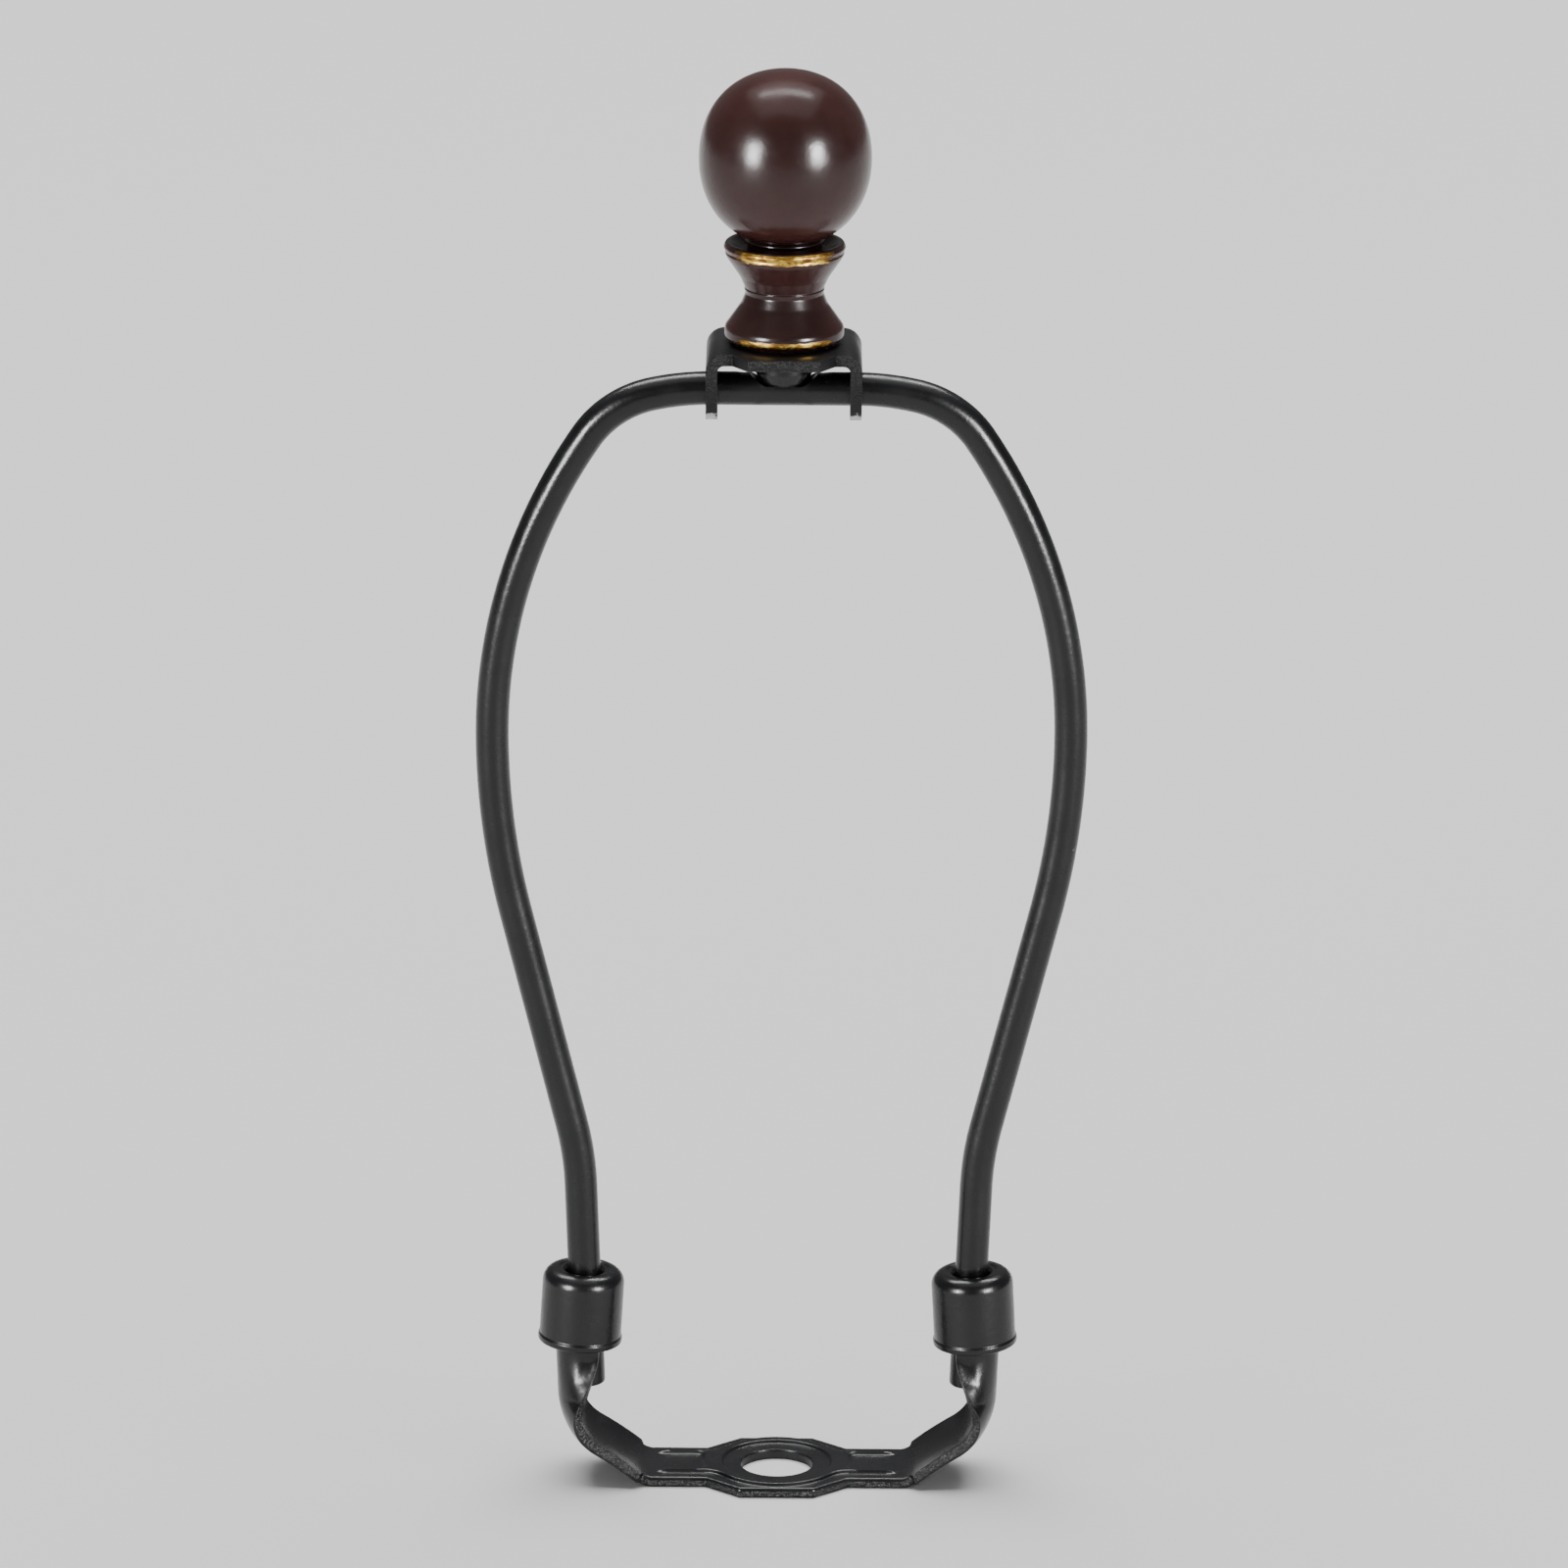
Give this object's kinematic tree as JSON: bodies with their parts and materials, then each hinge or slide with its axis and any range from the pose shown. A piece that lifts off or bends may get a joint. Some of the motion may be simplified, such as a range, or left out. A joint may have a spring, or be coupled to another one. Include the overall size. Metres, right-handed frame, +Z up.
{
  "type": "lamp harp",
  "caption": "Wire harp that carries a lamp shade, with a saddle for the lamp's nipple, locking sleeves, a swivel clip on top and a turned finial.",
  "frame": {"origin": "centre of the nipple hole, in the plane of the saddle's underside", "axes": "+Z up from the saddle to the finial, X across the loop from leg to leg"},
  "size_m": [0.0874, 0.0242, 0.2097],
  "materials": {
    "black_steel": "semi-gloss blackened plating",
    "finial_resin": "dark brown with worn gold on the rims"
  },
  "bodies": {
    "base": {"saddle": "black_steel"},
    "harp": {"harp_wire": "black_steel"},
    "sleeve_left": {"sleeve_left": "black_steel"},
    "sleeve_right": {"sleeve_right": "black_steel"},
    "clip": {"swivel_clip": "black_steel", "finial_stud": "black_steel"},
    "finial": {"finial": "finial_resin"}
  },
  "joints": [
    {"name": "harp_lift", "type": "slide", "parent": "base", "child": "harp", "axis": [0, 0, 1], "range_m": [0, 0.02]},
    {"name": "sleeve_left_slide", "type": "slide", "parent": "harp", "child": "sleeve_left", "axis": [-0.0384, 0, 0.9993], "range_m": [0, 0.012]},
    {"name": "sleeve_right_slide", "type": "slide", "parent": "harp", "child": "sleeve_right", "axis": [0.0384, 0, 0.9993], "range_m": [0, 0.012]},
    {"name": "top_swivel", "type": "hinge", "parent": "harp", "child": "clip", "pos_m": [0, 0, 0.1639], "axis": [1, 0, 0], "range_deg": [-18, 18]},
    {"name": "finial_turn", "type": "hinge", "parent": "clip", "child": "finial", "pos_m": [0, 0, 0.17075], "axis": [0, 0, 1], "continuous": true}
  ]
}
